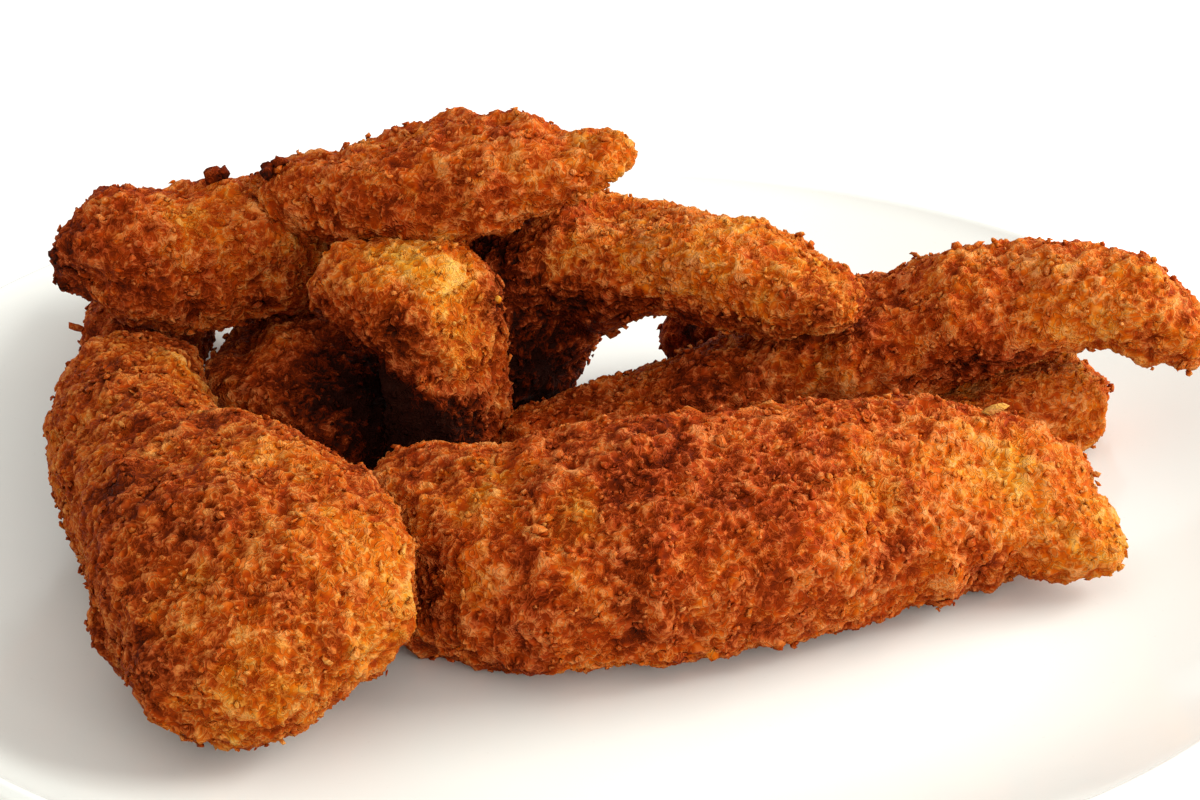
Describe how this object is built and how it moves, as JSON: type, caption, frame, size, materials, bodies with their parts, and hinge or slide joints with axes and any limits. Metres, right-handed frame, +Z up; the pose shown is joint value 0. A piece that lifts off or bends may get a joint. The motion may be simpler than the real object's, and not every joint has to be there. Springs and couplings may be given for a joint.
{
  "type": "plate of fried chicken tenders",
  "caption": "Loose pile of crumbed, deep-fried chicken tenders resting on a plain white coupe dinner plate.",
  "frame": {"origin": "on the table, under the plate's centre", "axes": "+Z up; -Y is the side the pile is seen from in the picture, and +X is to the right from there"},
  "size_m": [0.25, 0.25, 0.0671],
  "materials": {
    "glazed_white": "white clear-glazed porcelain, unglazed only on the foot ring",
    "crust_front": "deep-fried breadcrumb crust, matt with a slight oily sheen",
    "crust_front_left": "deep-fried breadcrumb crust, matt with a slight oily sheen",
    "crust_low_right": "deep-fried breadcrumb crust, matt with a slight oily sheen",
    "crust_right": "deep-fried breadcrumb crust, matt with a slight oily sheen",
    "crust_under_arch": "deep-fried breadcrumb crust, matt with a slight oily sheen",
    "crust_back_left": "deep-fried breadcrumb crust, matt with a slight oily sheen",
    "crust_low_left": "deep-fried breadcrumb crust, matt with a slight oily sheen",
    "crust_top_left": "deep-fried breadcrumb crust, matt with a slight oily sheen",
    "crust_middle": "deep-fried breadcrumb crust, matt with a slight oily sheen",
    "crust_arch": "deep-fried breadcrumb crust, matt with a slight oily sheen",
    "crust_top": "deep-fried breadcrumb crust, matt with a slight oily sheen"
  },
  "bodies": {
    "root": {"plate": "glazed_white", "tender_front": "crust_front", "tender_front_left": "crust_front_left", "tender_low_right": "crust_low_right", "tender_right": "crust_right", "tender_under_arch": "crust_under_arch", "tender_back_left": "crust_back_left", "tender_low_left": "crust_low_left", "tender_top_left": "crust_top_left", "tender_middle": "crust_middle", "tender_arch": "crust_arch", "tender_top": "crust_top"}
  },
  "joints": []
}
